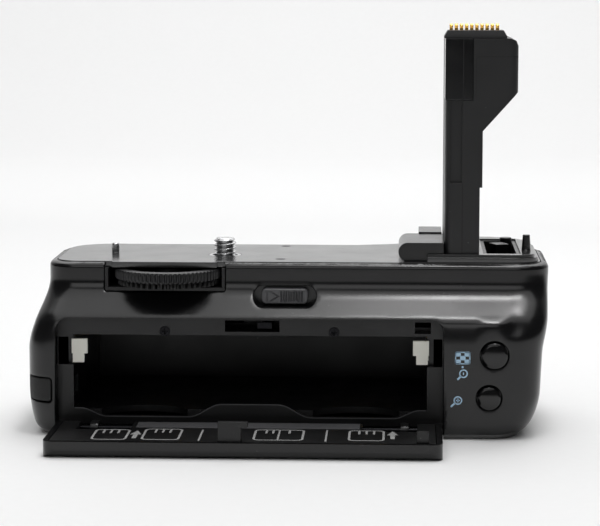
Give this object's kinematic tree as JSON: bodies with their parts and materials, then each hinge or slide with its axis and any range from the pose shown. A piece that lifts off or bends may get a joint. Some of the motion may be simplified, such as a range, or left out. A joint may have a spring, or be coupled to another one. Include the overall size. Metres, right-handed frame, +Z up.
{
  "type": "camera battery grip",
  "caption": "Camera battery grip with an open rear battery door, bay, geared attachment wheel and screw, contact tower and its own shutter, dial and buttons.",
  "frame": {"origin": "on the common axis of the camera screw and the tripod socket, at the underside of the base", "axes": "+X to the right seen from behind, +Y towards the lens side, +Z up"},
  "size_m": [0.145, 0.093, 0.1136],
  "materials": {
    "body_plastic": "satin moulded",
    "inner_plastic": "fine matt moulded",
    "plate_paint": "satin painted sheet",
    "control_plastic": "satin",
    "gloss_insert": "polished",
    "grey_plastic": "matt",
    "white_plastic": "satin",
    "gold_contact": "gold plated",
    "steel": "turned and polished",
    "dark_steel": "black oxide",
    "gear_brass": "cut",
    "board": "solder resist",
    "board_parts": "moulded",
    "rubber": "grained"
  },
  "bodies": {
    "grip": {"rear_cover": "body_plastic", "front_cover": "body_plastic", "top_plate": "plate_paint", "base_plate": "plate_paint", "battery_bay": "inner_plastic", "bay_frame": "inner_plastic", "bay_contacts": "gold_contact", "bay_guides": "inner_plastic", "frame_screws": "dark_steel", "base_screws": "dark_steel", "tripod_socket": "steel", "wheel_housing": "inner_plastic", "wheel_axle": "steel", "screw_bush": "steel", "locating_pin": "steel", "circuit_board": "board", "board_parts": "board_parts", "button_board": "board", "button_switches": "steel", "tower_base": "plate_paint", "tower_rear_shell": "body_plastic", "tower_front_shell": "body_plastic", "tower_insert": "gloss_insert", "contact_carrier": "grey_plastic", "tower_contacts": "gold_contact", "door_filler": "body_plastic", "holder_tray": "inner_plastic", "holder_clips": "inner_plastic", "grip_rubber": "rubber", "shutter_cup": "control_plastic", "dial_bracket": "steel", "power_switch": "grey_plastic", "lock_guide": "inner_plastic", "base_pads": "rubber"},
    "door": {"door_panel": "body_plastic", "door_liner": "inner_plastic", "door_hook": "inner_plastic", "hinge_pins": "dark_steel"},
    "lock": {"lock_knob": "control_plastic", "latch_bolt": "dark_steel"},
    "wheel": {"attachment_wheel": "control_plastic", "drive_gear": "control_plastic"},
    "screw": {"tripod_screw": "steel", "screw_gear": "gear_brass"},
    "upper_button": {"upper_button": "control_plastic"},
    "lower_button": {"lower_button": "control_plastic"},
    "shutter": {"shutter_button": "control_plastic"},
    "dial": {"control_dial": "control_plastic"},
    "power": {"power_knob": "control_plastic"},
    "left_lock": {"left_lever": "white_plastic"},
    "right_lock": {"right_lever": "white_plastic"},
    "cord_flap": {"cord_cover": "rubber"}
  },
  "joints": [
    {"name": "door_hinge", "type": "hinge", "parent": "grip", "child": "door", "pos_m": [0.0086, -0.02685, 0.002], "axis": [-1, 0, 0], "range_deg": [0, 90]},
    {"name": "lock_slide", "type": "slide", "parent": "grip", "child": "lock", "axis": [1, 0, 0], "range_m": [-0.0018, 0.0018], "stiffness_N_per_m": 250},
    {"name": "wheel_spin", "type": "hinge", "parent": "grip", "child": "wheel", "pos_m": [-0.0149, -0.01258, 0.0424], "axis": [0, 0, 1], "continuous": true},
    {"name": "screw_spin", "type": "hinge", "parent": "grip", "child": "screw", "pos_m": [0, 0, 0.0447], "axis": [0, 0, 1], "continuous": true},
    {"name": "upper_press", "type": "slide", "parent": "grip", "child": "upper_button", "axis": [0, 1, 0], "range_m": [0, 0.0007], "stiffness_N_per_m": 900},
    {"name": "lower_press", "type": "slide", "parent": "grip", "child": "lower_button", "axis": [0, 1, 0], "range_m": [0, 0.0007], "stiffness_N_per_m": 900},
    {"name": "shutter_press", "type": "slide", "parent": "grip", "child": "shutter", "axis": [-0.4695, -0.8829, 0], "range_m": [0, 0.0011], "stiffness_N_per_m": 700},
    {"name": "dial_spin", "type": "hinge", "parent": "grip", "child": "dial", "pos_m": [0.08434, 0.0181, 0.0258], "axis": [0, 0, 1], "continuous": true},
    {"name": "power_slide", "type": "slide", "parent": "grip", "child": "power", "axis": [0, 1, 0], "range_m": [0, 0.004]},
    {"name": "left_lock_slide", "type": "slide", "parent": "grip", "child": "left_lock", "axis": [-1, 0, 0], "range_m": [0, 0.0034], "stiffness_N_per_m": 200},
    {"name": "right_lock_slide", "type": "slide", "parent": "grip", "child": "right_lock", "axis": [1, 0, 0], "range_m": [0, 0.0034], "stiffness_N_per_m": 200},
    {"name": "cord_flap_hinge", "type": "hinge", "parent": "grip", "child": "cord_flap", "pos_m": [-0.05325, -0.02235, 0.0128], "axis": [0, 0, -1], "range_deg": [0, 75], "stiffness_Nm_per_rad": 0.0004}
  ],
  "couplings": [
    {"joint": "screw_spin", "follows": "wheel_spin", "ratio": -2.4211}
  ]
}
